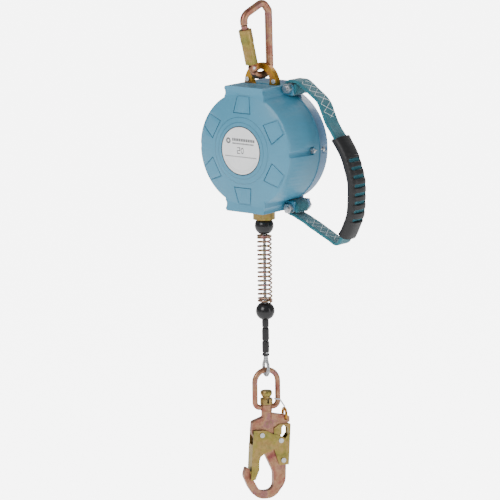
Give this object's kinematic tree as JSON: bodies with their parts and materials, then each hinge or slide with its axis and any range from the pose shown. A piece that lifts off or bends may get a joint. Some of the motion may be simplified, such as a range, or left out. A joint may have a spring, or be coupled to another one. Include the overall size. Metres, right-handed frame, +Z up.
{
  "type": "self retracting lifeline",
  "caption": "Wire rope self retracting lifeline: round plastic case with carry handle hanging from a locking carabiner, sprung bumper and swivel snap hook.",
  "frame": {"origin": "inside top of the anchor carabiner, the point that rests on the anchor", "axes": "+Z up along the hanging lifeline, -Y out of the label side of the case, +X towards the carry handle"},
  "size_m": [0.2483, 0.1036, 0.7357],
  "materials": {
    "rose_zinc": "satin iridescent zinc plating",
    "yellow_zinc": "satin yellow zinc plating",
    "gold_zinc": "satin gold zinc plating",
    "bright_steel": "bright",
    "blue_case": "fine satin texture",
    "label_white": "satin film",
    "label_dark": "satin",
    "machined_steel": "machined",
    "spring_steel": "oiled",
    "aluminium": "cast",
    "galvanised_rope": "galvanised wire rope",
    "bumper_zinc": "zinc plated wire",
    "black_plastic": "satin",
    "black_rubber": "matte",
    "friction_lining": "woven lining",
    "bronze": "sintered",
    "teal_webbing": "woven polyester"
  },
  "bodies": {
    "carabiner": {"carabiner_frame": "rose_zinc", "carabiner_gate_pin": "bright_steel"},
    "carabiner_gate": {"carabiner_gate": "rose_zinc"},
    "lock_sleeve": {"lock_sleeve": "yellow_zinc"},
    "case": {"front_frame_plate": "gold_zinc", "rear_frame_plate": "gold_zinc", "bracket_rivets": "bright_steel", "front_cover": "blue_case", "rear_cover": "blue_case", "case_seal": "blue_case", "label_rim": "label_dark", "label_disc": "label_white", "case_bolts": "bright_steel", "case_nuts": "bright_steel", "side_screws": "bright_steel", "bolt_sleeves": "bright_steel", "frame_spacers": "machined_steel", "frame_screws": "machined_steel", "main_axle": "machined_steel", "axle_nut": "machined_steel", "power_spring_case": "machined_steel", "power_spring": "spring_steel", "line_nozzle": "yellow_zinc", "nozzle_bush": "black_plastic", "cable_lead": "galvanised_rope", "handle_strap": "teal_webbing", "handle_grip": "black_rubber", "friction_discs": "friction_lining", "pressure_plate": "machined_steel", "disc_spring": "machined_steel", "brake_nut": "machined_steel", "lifeline_cable": "galvanised_rope"},
    "brake_ring": {"ratchet_ring": "machined_steel"},
    "drum": {"cable_drum": "aluminium", "wound_cable": "galvanised_rope", "drum_bushes": "bronze", "spring_arbor": "machined_steel", "pawl_pins": "machined_steel", "pawl_springs": "spring_steel"},
    "pawl_a": {"pawl_a": "machined_steel"},
    "pawl_b": {"pawl_b": "machined_steel"},
    "line": {"bumper_spring": "bumper_zinc", "lower_ball": "black_plastic", "cable_eye": "galvanised_rope", "stop_sleeve": "black_plastic", "ferrule_sleeve": "black_plastic", "tail_sleeve": "black_plastic", "thimble": "galvanised_rope"},
    "upper_ball": {"upper_ball": "black_plastic"},
    "bail": {"swivel_bail": "rose_zinc", "bail_wire": "bright_steel"},
    "hook": {"hook_frame": "rose_zinc", "swivel_stud": "yellow_zinc", "tag_ring": "gold_zinc", "gate_rivets": "bright_steel"},
    "hook_gate": {"hook_gate": "yellow_zinc", "gate_tail_pin": "bright_steel"},
    "lock_lever": {"lock_lever": "yellow_zinc"}
  },
  "joints": [
    {"name": "carabiner_gate_hinge", "type": "hinge", "parent": "carabiner", "child": "carabiner_gate", "pos_m": [-0.0051, -0.01569, -0.0886], "axis": [-0.9511, 0.309, 0], "range_deg": [0, 20], "stiffness_Nm_per_rad": 0.12, "springref_deg": -45.84},
    {"name": "lock_sleeve_twist", "type": "hinge", "parent": "carabiner_gate", "child": "lock_sleeve", "pos_m": [-0.0051, -0.01569, -0.0886], "axis": [-0.0658, -0.2025, 0.9771], "range_deg": [0, 90], "stiffness_Nm_per_rad": 0.02, "springref_deg": -34.38},
    {"name": "case_swing", "type": "hinge", "parent": "carabiner", "child": "case", "pos_m": [0, 0, -0.0999], "axis": [0.309, 0.9511, 0], "range_deg": [-20, 20]},
    {"name": "brake_slip", "type": "hinge", "parent": "case", "child": "brake_ring", "pos_m": [0, 0, -0.204], "axis": [0, 1, 0], "continuous": true},
    {"name": "line_payout", "type": "slide", "parent": "case", "child": "line", "axis": [0, 0, -1], "range_m": [0, 6.1], "stiffness_N_per_m": 1.5, "springref_m": -10, "deforming": ["lifeline_cable"]},
    {"name": "drum_spin", "type": "hinge", "parent": "case", "child": "drum", "pos_m": [0, 0, -0.204], "axis": [0, 1, 0], "range_deg": [0, 9001]},
    {"name": "pawl_a_pivot", "type": "hinge", "parent": "drum", "child": "pawl_a", "pos_m": [0.034, 0, -0.204], "axis": [0, -1, 0], "range_deg": [0, 9], "stiffness_Nm_per_rad": 0.05, "springref_deg": -17.19},
    {"name": "pawl_b_pivot", "type": "hinge", "parent": "drum", "child": "pawl_b", "pos_m": [-0.034, 0, -0.204], "axis": [0, -1, 0], "range_deg": [0, 9], "stiffness_Nm_per_rad": 0.05, "springref_deg": -17.19},
    {"name": "bumper_travel", "type": "slide", "parent": "line", "child": "upper_ball", "axis": [0, 0, -1], "range_m": [0, 0.04], "stiffness_N_per_m": 600, "springref_m": -0.004, "deforming": ["bumper_spring"]},
    {"name": "bail_hinge", "type": "hinge", "parent": "line", "child": "bail", "pos_m": [0, 0, -0.5326], "axis": [0.4695, 0.8829, 0], "range_deg": [-40, 40]},
    {"name": "hook_swivel", "type": "hinge", "parent": "bail", "child": "hook", "pos_m": [0, 0, -0.588], "axis": [0, 0, 1], "continuous": true},
    {"name": "hook_gate_hinge", "type": "hinge", "parent": "hook", "child": "hook_gate", "pos_m": [-0.00558, -0.00842, -0.6275], "axis": [0.8339, -0.5519, 0], "range_deg": [0, 16], "stiffness_Nm_per_rad": 0.3, "springref_deg": -28.65},
    {"name": "lock_lever_hinge", "type": "hinge", "parent": "hook", "child": "lock_lever", "pos_m": [0.01247, 0.01885, -0.6675], "axis": [0.8339, -0.5519, 0], "range_deg": [0, 8], "stiffness_Nm_per_rad": 0.3, "springref_deg": -28.65}
  ],
  "couplings": [
    {"joint": "drum_spin", "follows": "line_payout", "rad_per_m": 25.751},
    {"joint": "lock_lever_hinge", "follows": "hook_gate_hinge", "ratio": 0.45}
  ]
}
